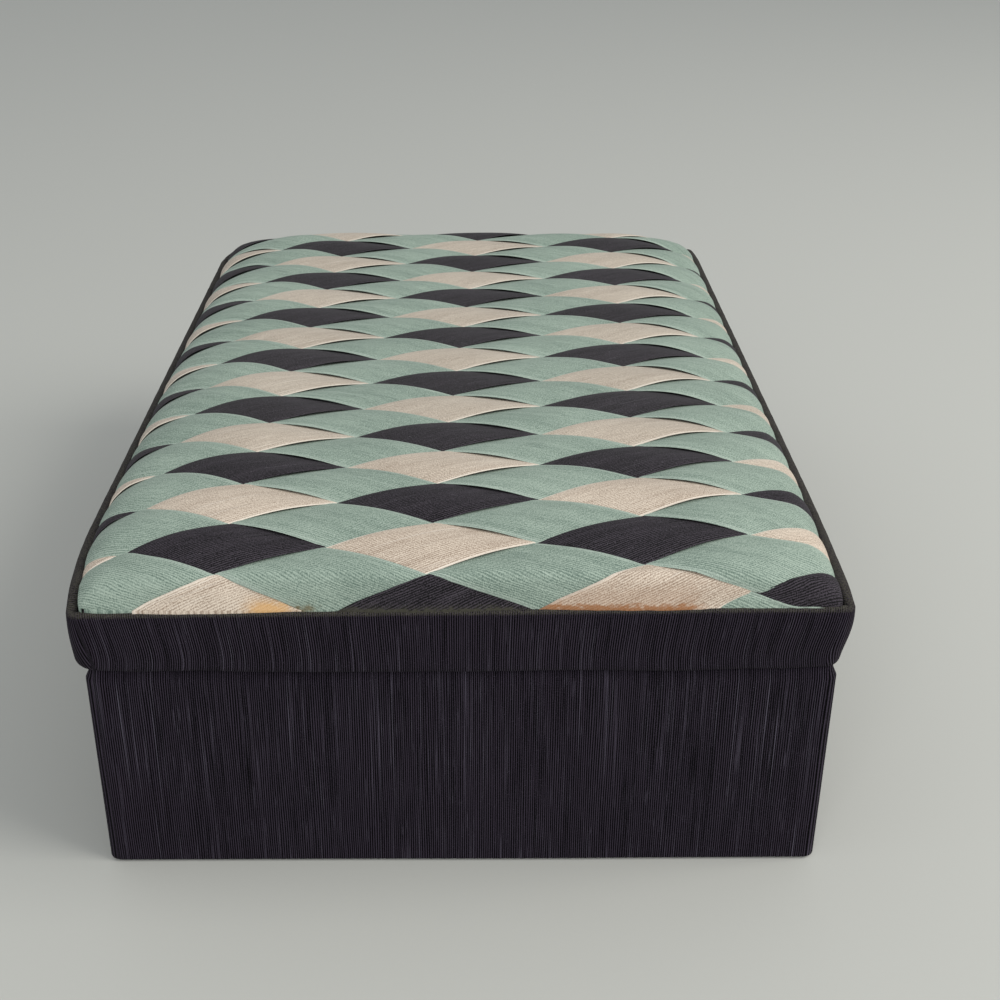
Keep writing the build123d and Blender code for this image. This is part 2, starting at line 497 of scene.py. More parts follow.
@dataclass(frozen=True)
class PlainStock:
    """Card, paper, lining or wadding with a fine mottled grain."""

    name: str
    base: Colour
    pale: Colour
    grain: Point
    relief: float
    roughness: float = 0.85
    sheen: float = 0.0
    cloud_grain: float = 18 * MM

    def material(self) -> bpy.types.Material:
        """Builds the grain on the piece's own place."""
        graph = Graph(self.name)
        grain = graph.noise(self.grain, 3.0)
        cloud = graph.noise(self.cloud_grain)
        share = grain.rises(0.3, 0.7) * 0.6 + cloud.rises(0.3, 0.7) * 0.4
        colour = graph.mixed(share, self.base, self.pale)
        normal = graph.bumped(grain, self.relief)
        return graph.finished(
            {"Base Color": colour, "Normal": normal, "Roughness": self.roughness + (grain - 0.5) * 0.15},
            {"Sheen Weight": self.sheen, "Specular IOR Level": 0.3},
        )


@dataclass(frozen=True)
class LiningCloth:
    """Ivory plain-weave lining on card."""

    name: str = "lining_cloth"
    base: Colour = screen_colour(206, 196, 176)
    pale: Colour = screen_colour(228, 220, 203)
    thread: float = 0.42 * MM
    slub_grain: Point = (9 * MM, 0.5 * MM, 0.5 * MM)
    cloud_grain: float = 30 * MM
    relief: float = 0.08 * MM

    def material(self) -> bpy.types.Material:
        """Builds the over and under of a plain weave on the piece's own place."""
        graph = Graph(self.name)
        x, y, z = (part.wave(self.thread) for part in graph.parts(graph.place))
        weave = (x * y + y * z + x * z) * 0.5 + 0.5
        slub = graph.noise(self.slub_grain).rises(0.6, 0.75)
        cloud = graph.noise(self.cloud_grain).rises(0.3, 0.7)
        colour = graph.mixed(weave * 0.5 + cloud * 0.3 + slub * 0.3, self.base, self.pale)
        normal = graph.bumped(weave * 0.7 + slub * 0.6, self.relief)
        return graph.finished(
            {"Base Color": colour, "Normal": normal, "Roughness": 0.82 - slub * 0.1},
            {"Sheen Weight": 0.15, "Specular IOR Level": 0.3},
        )


ORANGE_MARK = Stain(
    screen_colour(148, 92, 44), left=12 * MM, right=46 * MM, strong=1.2 * MM, faint=7 * MM, tint=0.25
)
YELLOW_MARK = Stain(
    screen_colour(212, 166, 108), left=-41 * MM, right=-33 * MM, strong=1.4 * MM, faint=4.5 * MM, tint=0.4
)
OLIVE_MARK = Stain(
    screen_colour(104, 84, 44), left=-37 * MM, right=-29 * MM, strong=1.0 * MM, faint=3 * MM, tint=0.2
)
FRAYED_MARK = Stain(
    screen_colour(66, 64, 54), left=-24 * MM, right=11 * MM, strong=0.5 * MM, faint=1.8 * MM, tint=0.25
)

TEAL_CLOTH = StripCloth(
    "teal_strip_cloth",
    base=screen_colour(163, 178, 164), deep=screen_colour(96, 114, 104), pale=screen_colour(200, 212, 200),
    streak=0.3, rib_share=0.55, sheen=0.06, roughness=0.82, fold_highlight_share=0.2, stains=(OLIVE_MARK,),
)
CREAM_CLOTH = StripCloth(
    "cream_strip_cloth",
    base=screen_colour(222, 207, 189), deep=screen_colour(150, 130, 113), pale=screen_colour(246, 235, 221),
    streak=0.5, rib_share=0.6, sheen=0.08, roughness=0.66, fold_highlight_share=0.5, lint=0.1,
    painted_light_share=0.25, stains=(ORANGE_MARK, YELLOW_MARK),
)
DARK_CLOTH = StripCloth(
    "dark_strip_cloth",
    base=screen_colour(66, 60, 67), deep=screen_colour(6, 5, 7), pale=screen_colour(112, 107, 114),
    streak=0.2, rib_share=0.8, sheen=0.02, roughness=0.92, fold_highlight_share=0.0, lint=0.6,
    contrast=1.5, level=0.38, painted_light_share=0.03, stains=(FRAYED_MARK,),
)
GREY_CARD = PlainStock(
    "grey_card", base=screen_colour(150, 142, 128), pale=screen_colour(172, 164, 150),
    grain=(0.6 * MM, 0.6 * MM, 0.6 * MM), relief=0.04 * MM,
)
PAPER_TAPE = PlainStock(
    "paper_tape", base=screen_colour(176, 150, 112), pale=screen_colour(196, 172, 134),
    grain=(0.3 * MM, 0.3 * MM, 1.6 * MM), relief=0.02 * MM,
)
FOOT_PAPER = PlainStock(
    "foot_paper", base=screen_colour(44, 41, 48), pale=screen_colour(58, 55, 63),
    grain=(0.4 * MM, 1.8 * MM, 0.4 * MM), relief=0.02 * MM,
)
WADDING = PlainStock(
    "wadding", base=screen_colour(214, 204, 186), pale=screen_colour(236, 228, 212),
    grain=(0.8 * MM, 0.8 * MM, 0.8 * MM), relief=0.2 * MM, roughness=0.95, sheen=0.3,
)
FINISHES: dict[str, Union[CoverCloth, StripCloth, PlainStock, LiningCloth]] = {
    finish.name: finish
    for finish in (
        CoverCloth(), LiningCloth(), GREY_CARD, PAPER_TAPE, FOOT_PAPER, WADDING,
        TEAL_CLOTH, CREAM_CLOTH, DARK_CLOTH,
    )
}


@cache
def material_of(slot: str) -> bpy.types.Material:
    """The material of a slot, made once."""
    return FINISHES[slot].material()


# Mesh building


class Skin:
    """Points and faces of a piece, with its cloth coordinates."""

    def __init__(self) -> None:
        """Starts an empty skin."""
        self.points: list[Point] = []
        self.cloth: list[Pair] = []
        self.faces: list[tuple[int, ...]] = []

    def add(self, point: Point, cloth: Pair) -> int:
        """Adds a point with its cloth place and returns its number."""
        self.points.append(point)
        self.cloth.append(cloth)
        return len(self.points) - 1

    def tube(self, rings: Sequence[Sequence[int]], closed: bool = False) -> None:
        """Joins rings of points.

        Args:
            rings: Point numbers of each ring, all rings alike.
            closed: Whether the last ring joins the first, instead of both ends staying open.
        """
        count = len(rings)
        for index in range(count if closed else count - 1):
            first, second = rings[index], rings[(index + 1) % count]
            for step in range(len(first)):
                after = (step + 1) % len(first)
                self.faces.append((first[step], first[after], second[after], second[step]))

    def piece(self, name: str, slot: str, node: Optional[str], body: Body = Body.LID) -> bpy.types.Object:
        """Makes the finished object.

        Args:
            name: Name of the piece.
            slot: Slot whose finish it takes.
            node: Node that it replaces, or nothing.
            body: Body that it rides on.

        Returns:
            The object, at the origin, smooth shaded, with its normals outwards.
        """
        mesh = bpy.data.meshes.new(name)
        mesh.from_pydata(self.points, [], self.faces)
        layer = mesh.uv_layers.new(name="cloth")
        for loop in mesh.loops:
            layer.data[loop.index].uv = self.cloth[loop.vertex_index]
        piece = bpy.data.objects.new(name, mesh)
        bpy.context.scene.collection.objects.link(piece)
        mesh.materials.append(material_of(slot))
        cleaned(piece)
        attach(piece, body.value)
        if node:
            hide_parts(node)
        return piece


def cleaned(piece: bpy.types.Object, doubles: float = 0.002 * MM, angle: float = 60) -> None:
    """Merges doubles, turns the faces outwards and shades smooth.

    Args:
        piece: The piece.
        doubles: Distance below which two points are one.
        angle: Angle in degrees up to which an edge is smooth.
    """
    for other in list(bpy.context.selected_objects):
        other.select_set(False)
    piece.select_set(True)
    bpy.context.view_layer.objects.active = piece
    bpy.ops.object.mode_set(mode="EDIT")
    bpy.ops.mesh.select_all(action="SELECT")
    bpy.ops.mesh.remove_doubles(threshold=doubles)
    bpy.ops.mesh.normals_make_consistent(inside=False)
    bpy.ops.mesh.select_all(action="DESELECT")
    bpy.ops.object.mode_set(mode="OBJECT")
    bpy.ops.object.shade_smooth_by_angle(angle=math.radians(angle))


# Padded panel


@dataclass(frozen=True)
class LidPlan:
    """Plan of the lid's lip, whose long sides bow outwards between square corners."""

    half_width: float = (LID_HIGH.x - LID_LOW.x) / 2
    half_depth: float = (LID_HIGH.y - LID_LOW.y) / 2
    left_bow: float = 2.6 * MM
    right_bow: float = 0.9 * MM
    left_ease: float = 33 * MM
    right_ease: float = 50 * MM
    back_ease: float = 14 * MM
    furthest_share: float = 1.1

    def bow(self, x: float, y: float) -> float:
        """How far the side nearest to a point stands outside its nominal line, with X's sign."""
        bow, ease = (-self.left_bow, self.left_ease) if x < 0 else (self.right_bow, self.right_ease)
        front = sine_share((y + self.half_depth) / ease)
        return bow * front * sine_share((self.half_depth - y) / self.back_ease)

    def bowed(self, x: float, y: float) -> Pair:
        """A point of the straight-sided lid moved with the bow of its sides."""
        share = min(abs(x) / self.half_width, self.furthest_share)
        return x + self.bow(x, y) * share, y

    def straight(self, x: float, y: float) -> float:
        """The X that a bowed point has on the straight-sided lid."""
        return x / (1 + self.bow(x, y) / math.copysign(self.half_width, x or 1))


@dataclass(frozen=True)
class Crown:
    """How the padding rises inside one edge.

    Part of an ellipse, upright where the steepness is 1, with a share of the rise in a short steep step.
    """

    rounding: float
    steepness: float
    step_share: float = 0.0
    step_reach: float = 2.4 * MM

    def rise(self, inset: float) -> float:
        """Share of the crown's rise at a distance inside the edge."""
        start = math.sqrt(1 - self.steepness**2)
        place = clamped(inset / self.rounding)
        slow = (math.sqrt(1 - (self.steepness * (1 - place)) ** 2) - start) / (1 - start)
        return between(slow, sine_share(inset / self.step_reach), self.step_share)


@dataclass(frozen=True)
class Panel:
    """Outline and crown of the woven panel."""

    plan: LidPlan = LidPlan()
    side_gap: float = 2.7 * MM
    back_gap: float = 2.15 * MM
    front_gap: float = 0.95 * MM
    corner: float = 0.6 * MM
    top: float = LID_HIGH.z + 8.2 * MM
    side_edge: float = LID_HIGH.z - 0.35 * MM
    front_edge: float = LID_HIGH.z - 2.1 * MM
    edge_ease: float = 14 * MM
    side_dip: float = 9 * MM
    corner_dip: float = 7 * MM
    slope_reach: float = 0.25 * MM
    steepest: float = 2.5
    front: Crown = Crown(rounding=39.3 * MM, steepness=0.5, step_share=0.55)
    back: Crown = Crown(rounding=15.8 * MM, steepness=0.99)
    side: Crown = Crown(rounding=29.1 * MM, steepness=0.998)

    def insets(self, x: float, y: float) -> Pair:
        """Distances inside the nearer side and the nearer end, on the straight-sided lid."""
        side = self.plan.half_width - self.side_gap - abs(self.plan.straight(x, y))
        if y < 0:
            return side, self.plan.half_depth - self.front_gap + y
        return side, self.plan.half_depth - self.back_gap - y

    def inside(self, x: float, y: float) -> bool:
        """Whether a point lies on the panel, within its rounded corners."""
        side, end = self.insets(x, y)
        if side < 0 or end < 0:
            return False
        if side < self.corner and end < self.corner:
            return math.hypot(self.corner - side, self.corner - end) <= self.corner
        return True

    def height(self, x: float, y: float) -> float:
        """Middle height of the weave over a point of the panel."""
        side, end = self.insets(x, y)
        rise = self.side.rise(side) * (self.front if y < 0 else self.back).rise(end)
        front = 1 - smooth_share(end / self.edge_ease) if y < 0 else 0.0
        corner = max(smooth_share(side / self.side_dip), smooth_share(1 - end / self.corner_dip))
        edge = between(self.side_edge, self.front_edge, front * corner)
        return between(edge, self.top, rise)

    def normal(self, x: float, y: float) -> Vector:
        """Upward normal of the crown over a point, tilted no further than its steepest slope."""
        reach = self.slope_reach
        across = (self.height(x + reach, y) - self.height(x - reach, y)) / (2 * reach)
        along = (self.height(x, y + reach) - self.height(x, y - reach)) / (2 * reach)
        excess = max(math.hypot(across, along) / self.steepest, 1)
        return Vector((-across / excess, -along / excess, 1)).normalized()


@dataclass(frozen=True)
class Slant:
    """One family of parallel strips, with pitches measured along the surface from front to back.

    The bend is how far its lines run towards the back at the lid's sides, and the flare is the share of a
    strip by which each of its folds lies further out there.
    """

    pitch: float
    start: float
    slope: float
    bend: float
    sign: int
    first: int
    last: int
    flare: float = 0.0
    flare_from: float = 0.8

    def square(self) -> float:
        """True width over width measured from front to back."""
        return math.cos(math.atan(self.slope))

    def true_width(self, strips: float) -> float:
        """True width of a number of strips side by side."""
        return strips * self.pitch * self.square()

    def seed(self, number: int, spread: int) -> int:
        """A number that tells one strip's irregularities from another's."""
        return number * self.sign + spread * (self.sign + 2)

    def fullness(self, side_shares: np.ndarray) -> np.ndarray:
        """Width of its strips over their usual width, at shares of the lid's half width."""
        near = np.clip((abs(side_shares) - self.flare_from) / (1 - self.flare_from), 0, 1)
        return 1 + 2 * self.flare * near * near * (3 - 2 * near)


RISING = Slant(pitch=15.56 * MM, start=-22.7 * MM, slope=0.409, bend=3.3 * MM, sign=1, first=-8, last=10)
FALLING = Slant(
    pitch=16.22 * MM, start=-24.0 * MM, slope=-0.351, bend=4.8 * MM, sign=-1, first=-7, last=10, flare=0.26
)


class Surface:
    """Lengths along the crown from its middle lines, so that strips keep their width over its edges."""

    step: float = 0.6 * MM
    side_margin: float = 5 * MM
    end_margin: float = 4 * MM

    def __init__(self, panel: Panel) -> None:
        """Measures the crown on a grid that reaches past the lid."""
        reaches = (panel.plan.half_width + self.side_margin, panel.plan.half_depth + self.end_margin)
        self.xs, self.ys = (np.arange(-reach, reach + self.step, self.step) for reach in reaches)
        heights = np.array([[panel.height(x, y) for y in self.ys] for x in self.xs])
        lengths = []
        for axis, places in ((0, self.xs), (1, self.ys)):
            pieces = np.hypot(self.step, np.diff(heights, axis=axis))
            start = np.zeros_like(np.take(pieces, [0], axis=axis))
            run = np.concatenate((start, np.cumsum(pieces, axis=axis)), axis=axis)
            middle = int(np.argmin(abs(places)))
            lengths.append(run - np.take(run, [middle], axis=axis) + places[middle])
        self.across, self.along = lengths
        self.side_shares = (self.xs / panel.plan.half_width)[:, None]
        self.grids: dict[int, np.ndarray] = {}

    def grid(self, slant: Slant) -> np.ndarray:
        """Strip numbers of a family over the grid."""
        if slant.sign not in self.grids:
            straightened = self.along - slant.slope * self.across - slant.bend * self.side_shares**2
            self.grids[slant.sign] = (straightened - slant.start) / slant.pitch
        return self.grids[slant.sign]

    def place(self, slant: Slant, x: float, y: float) -> float:
        """Number of the strip at a point, whole on a centre line."""
        grid = self.grid(slant)
        column, row = (x - self.xs[0]) / self.step, (y - self.ys[0]) / self.step
        i = int(clamped(column, 0, len(self.xs) - 2))
        j = int(clamped(row, 0, len(self.ys) - 2))
        near = between(grid[i, j], grid[i + 1, j], column - i)
        far = between(grid[i, j + 1], grid[i + 1, j + 1], column - i)
        return between(near, far, row - j)

    def line(self, slant: Slant, number: int, offset: float) -> np.ndarray:
        """Y of the line at an offset from a strip's centre line, for each X of the grid."""
        outermost = (number == slant.first and offset < 0) or (number == slant.last and offset > 0)
        fullness = np.ones(len(self.xs)) if outermost else slant.fullness(self.side_shares[:, 0])
        numbers = number + offset * fullness
        return np.array([np.interp(near, column, self.ys) for near, column in zip(numbers, self.grid(slant))])


@dataclass
class Lane:
    """One line of points along a strip.

    Its share runs from -1 at the near fold to 1 at the far fold, its offset is in strips from the centre
    line, and it lies on the panel from its low X to its high X.
    """

    share: float
    offset: float
    line: np.ndarray
    low: float
    high: float


@dataclass
class WovenPanel:
    """The woven top of the lid: folded strips over and under each other on the wadding."""

    panel: Panel = Panel()
    corner_reach: float = 0.7
    lift: float = 0.95 * MM
    lift_sway: float = 0.1
    lift_wave: float = 30 * MM
    edge_lift: float = 0.5
    edge_fade: float = 5 * MM
    near_corner: float = 12 * MM
    thickness: float = 0.62 * MM
    cloth: float = 0.25 * MM
    least_hollow: float = 0.02 * MM
    fold_power: int = 5
    inwards_power: int = 7
    doming: float = 0.2 * MM
    under_dome: float = 0.45
    wobble: float = 0.18 * MM
    wobble_wave: float = 17 * MM
    wobble_ends: float = 8
    station: float = 1.35 * MM
    least_stations: int = 8
    crowding: float = 0.1
    lanes: int = 13
    least_lanes: int = 11
    tuck: float = 1.6 * MM
    tuck_steps: int = 2
    least_cut: float = 11 * MM
    search_steps: int = 40
    least_found: int = 4
    end_halvings: int = 10
    fold_halvings: int = 5

    def __post_init__(self) -> None:
        """Measures the crown once for all strips."""
        self.surface = Surface(self.panel)

    def strip_offset(self, slant: Slant, number: int, x: float, y: float, across: float) -> float:
        """How far the middle of a strip's cloth lies off the crown.

        Args:
            slant: Family of the strip.
            number: Number of the strip.
            x: Place across the lid.
            y: Place from front to back.
            across: Share of the half width, from -1 at the near fold to 1 at the far fold.

        Returns:
            The distance along the crown's normal in metres.
        """
        side, end = self.panel.insets(x, y)
        fade = between(self.edge_lift, 1, smooth_share(min(side, end) / self.edge_fade))
        other = FALLING if slant is RISING else RISING
        crossing = clamped(self.surface.place(other, x, y), other.first, other.last)
        over = slant.sign * math.cos(math.pi * (crossing - number))
        if x < 0 and y < 0:
            over = between(over, -slant.sign, smooth_share(1 - math.hypot(side, end) / self.near_corner))
        sway = wander(x / self.lift_wave, slant.seed(number, Seed.LIFT))
        lift = self.lift * (1 + self.lift_sway * sway)
        dome = self.doming * (1 - across * across) * between(self.under_dome, 1, over)
        return (lift * over + dome) * fade

    def span(self, line: np.ndarray) -> Optional[Pair]:
        """The stretch of X over which a lane lies on the panel.

        Args:
            line: Y of the lane for each X of the measured grid.

        Returns:
            Lowest and highest X, or nothing where the lane misses the panel.
        """
        xs = self.surface.xs

        def covered(x: float) -> bool:
            """Whether the lane lies on the panel at this X."""
            return self.panel.inside(x, float(np.interp(x, xs, line)))

        within = [index for index, x in enumerate(xs) if covered(x)]
        if not within:
            return None
        ends = []
        for index, away in ((within[0], -1), (within[-1], 1)):
            ends.append(float(halved(xs[index], xs[index + away], self.end_halvings, covered)))
        return ends[0], ends[1]

    def lanes_across(self, slant: Slant, number: int) -> list[Lane]:
        """The lanes of a strip, from its near fold to its far fold.

        Args:
            slant: Family of the strip.
            number: Number of the strip.

        Returns:
            The lanes that lie on the panel.
        """
        low = -0.5 - self.corner_reach * (number == slant.first)
        high = 0.5 + self.corner_reach * (number == slant.last)

        def found(offset: float) -> bool:
            """Whether a line at this offset crosses the panel."""
            return self.span(self.surface.line(slant, number, offset)) is not None

        steps = self.search_steps
        good = [offset for offset in np.linspace(low, high, steps + 1).tolist() if found(offset)]
        if len(good) < self.least_found:
            return []
        folds = []
        for near, away in ((good[0], low - high), (good[-1], high - low)):
            far = clamped(near + away / steps, low, high)
            folds.append(halved(near, far, self.fold_halvings, found))
        lanes = []
        for lane in range(self.lanes):
            share = math.sin(math.pi / 2 * (2 * lane / (self.lanes - 1) - 1))
            offset = between(folds[0], folds[1], (1 + share) / 2)
            line = self.surface.line(slant, number, offset)
            span = self.span(line)
            if span:
                lanes.append(Lane(share, offset, line, *span))
        return lanes

    def section(
        self, slant: Slant, number: int, lanes: Sequence[Lane], even: float, sunk: float, skin: Skin
    ) -> tuple[list[int], list[int]]:
        """Adds the points round a strip at one place along it.

        Args:
            slant: Family of the strip.
            number: Number of the strip.
            lanes: Lanes of the strip.
            even: Share of the strip's length, before its places are crowded towards the ends.
            sunk: How far the place is tucked down past the strip's end.
            skin: Skin that takes the points.

        Returns:
            Point numbers round the outside, and round the hollow between the layers.
        """
        part = even - self.crowding * math.sin(2 * math.pi * even)
        calm = (sunk == 0) * smooth_share(min(even, 1 - even) * self.wobble_ends)
        outer: tuple[list[int], list[int]] = ([], [])
        inner: tuple[list[int], list[int]] = ([], [])
        for lane in lanes:
            x = between(lane.low, lane.high, part)
            y = float(np.interp(x, self.surface.xs, lane.line))
            normal = self.panel.normal(x, y)
            middle = Vector((x, y, self.panel.height(x, y) - sunk))
            middle += normal * self.strip_offset(slant, number, x, y, 2 * lane.offset)
            sway = wander(x / self.wobble_wave, slant.seed(number, Seed.WOBBLE) + (lane.share > 0))
            middle.y += self.wobble * sway * lane.share**2 * calm
            rounding = self.thickness / 2 * math.sqrt(1 - abs(lane.share) ** self.fold_power)
            hollow = max(rounding - self.cloth, self.least_hollow) * (abs(lane.share) < 1)
            cloth = (x / slant.square() + number, slant.true_width(lane.offset))
            inwards = Vector((0, -self.cloth * lane.share**self.inwards_power / slant.square(), 0))
            for layer, sign in enumerate((1, -1)):
                outer[layer].append(skin.add(tuple(middle + normal * sign * rounding), cloth))
                inner[layer].append(skin.add(tuple(middle + inwards + normal * sign * hollow), cloth))
        return outer[0] + outer[1][::-1], inner[0] + inner[1][::-1]

    def strip(self, slant: Slant, number: int, kind: str) -> None:
        """Makes one strip folded double, from fold to fold, and tucks its ends behind the lip.

        Nothing is made where the strip misses the panel.

        Args:
            slant: Family of the strip.
            number: Number of the strip.
            kind: Kind of strip, with which the names of its node and its slot begin.
        """
        lanes = self.lanes_across(slant, number)
        if len(lanes) < self.least_lanes:
            return
        width = 2 * slant.true_width(lanes[-1].offset - lanes[0].offset)
        if width < self.least_cut:
            return
        longest = max(lane.high - lane.low for lane in lanes)
        stations = max(math.ceil(longest / self.station), self.least_stations)
        skin = Skin()
        rings = []
        for station in range(-self.tuck_steps, stations + self.tuck_steps + 1):
            sunk = self.tuck * max(-station, station - stations, 0) / self.tuck_steps
            rings.append(self.section(slant, number, lanes, clamped(station / stations), sunk, skin))
        outer, inner = zip(*rings)
        for pair in (outer, inner, (outer[0], inner[0]), (outer[-1], inner[-1])):
            skin.tube(pair)
        node = f"{kind}_{number - RISING.first:02d}"
        name = f"{node}_cloth"
        piece = skin.piece(name, f"{kind}_cloth", node if node in frame["nodes"] else None)
        length = longest / slant.square() + 2 * self.tuck
        covered = sum(
            (after.offset - lane.offset) * slant.pitch * (after.high - after.low + lane.high - lane.low) / 2
            for lane, after in zip(lanes, lanes[1:])
        )
        area = min(2 * covered + 2 * self.tuck * width, width * length)
        LOG.info("%s: cut %.1f by %.1f mm, folded double", name, width / MM, length / MM)

    def build(self) -> None:
        """Makes every strip of both families in place of its node."""
        for slant, kinds in ((RISING, ("dark_strip", "cream_strip")), (FALLING, ("teal_strip",) * 2)):
            for number in range(slant.first, slant.last + 1):
                self.strip(slant, number, kinds[number % 2])


@dataclass
class Wadding:
    """The crowned cushion under the weave."""

    panel: Panel = Panel()
    inset: float = 1.6 * MM
    below_weave: float = 2.0 * MM
    least_height: float = 0.4 * MM
    step: float = 3.2 * MM
    bottom: float = PAD_BOTTOM

    def build(self) -> None:
        plan = self.panel.plan
        half_width = plan.half_width - self.panel.side_gap - self.inset
        front = -plan.half_depth + self.panel.front_gap + self.inset
        back = plan.half_depth - self.panel.back_gap - self.inset
        columns = math.ceil(2 * half_width / self.step)
        rows = math.ceil((back - front) / self.step)
        skin = Skin()
        edges = []
        for crowned in (False, True):
            grid: list[list[int]] = []
            for row in range(rows + 1):
                y = between(front, back, row / rows)
                grid.append([])
                for column in range(columns + 1):
                    place = plan.bowed(half_width * (2 * column / columns - 1), y)
                    top = max(self.panel.height(*place) - self.below_weave, self.bottom + self.least_height)
                    grid[-1].append(skin.add((*place, top if crowned else self.bottom), place))
            for near, far in zip(grid, grid[1:]):
                for i in range(columns):
                    skin.faces.append((near[i], near[i + 1], far[i + 1], far[i]))
            left = [points[0] for points in grid[1:-1]]
            right = [points[-1] for points in grid[1:-1]]
            edges.append(grid[0] + right + grid[-1][::-1] + left[::-1])
        skin.tube(edges)
        piece = skin.piece("pad_wadding_cushion", "wadding", "pad_wadding")
        LOG.info("pad_wadding_cushion: %d points", len(skin.points))


# Cover cloths


@dataclass(frozen=True)
class Station:
    """One station round a shell: its share of a side, its angle round the corner, its run and side."""

    share: float
    turn: float
    run: float
    side: int


@dataclass(frozen=True)
class Wrap:
    """Stations round a shell, from the front left and counter-clockwise."""

    half_width: float
    half_depth: float
    corner: float = 2.4 * MM
    least_radius: float = 0.05 * MM
    step: float = 2.0 * MM
    corner_steps: int = 9

    def stations(self) -> list[Station]:
        """All stations, with the sides counted 0 front, 1 right, 2 back and 3 left."""
        stations = []
        run = 0.0
        for side in range(4):
            length = 2 * ((self.half_depth if side % 2 else self.half_width) - self.corner)
            steps = math.ceil(length / self.step)
            for step in range(steps):
                stations.append(Station(step / steps, 0.0, run + length * step / steps, side))
            run += length
            for step in range(self.corner_steps):
                turn = math.pi / 2 * step / self.corner_steps
                stations.append(Station(1.0, turn, run + self.corner * turn, side))
            run += self.corner * math.pi / 2
        return stations

    def place(self, station: Station, inset: float, radius: float) -> Pair:
        """Plan place of a station.

        Args:
            station: The station.
            inset: Distance inside the outer face.
            radius: Plan corner radius of the outer face.

        Returns:
            X and Y.
        """
        room = max(radius, inset + self.least_radius)
        length, depth = self.half_width, self.half_depth
        if station.side % 2:
            length, depth = depth, length
        small = room - inset
        along = (length - room) * (2 * station.share - 1) + small * math.sin(station.turn)
        outward = depth - room + small * math.cos(station.turn)
        return ((along, -outward), (outward, along), (-along, outward), (-outward, -along))[station.side]


def banded(path: Sequence[Pair], thickness: float) -> list[Point]:
    """Closes a path into a thin band.

    Args:
        path: Inset and height of the band's middle line.
        thickness: Thickness of the band.

    Returns:
        Inset, height and run along the path of each point round the band.
    """
    runs = [0.0]
    for start, end in zip(path, path[1:]):
        runs.append(runs[-1] + math.dist(start, end))
    faces: list[list[Point]] = []
    for offset in (thickness / 2, -thickness / 2):
        faces.append([])
        for index, (inset, height) in enumerate(path):
            before = path[max(index - 1, 0)]
            after = path[min(index + 1, len(path) - 1)]
            share = offset / math.dist(before, after)
            outward = inset + share * (after[1] - before[1])
            upward = height - share * (after[0] - before[0])
            faces[-1].append((outward, upward, runs[index]))
    return faces[0] + faces[1][::-1]


def arc(centre: Pair, radii: Pair, start: float, end: float, steps: int) -> list[Pair]:
    """Points on an elliptical arc of insets and heights, with angles in degrees."""
    angles = [math.radians(between(start, end, step / steps)) for step in range(steps + 1)]
    return [(centre[0] + radii[0] * math.cos(a), centre[1] + radii[1] * math.sin(a)) for a in angles]


def line(start: Pair, end: Pair, steps: int) -> list[Pair]:
    """Points on a straight stretch, without its ends."""
    shares = [step / steps for step in range(1, steps)]
    return [(between(start[0], end[0], share), between(start[1], end[1], share)) for share in shares]


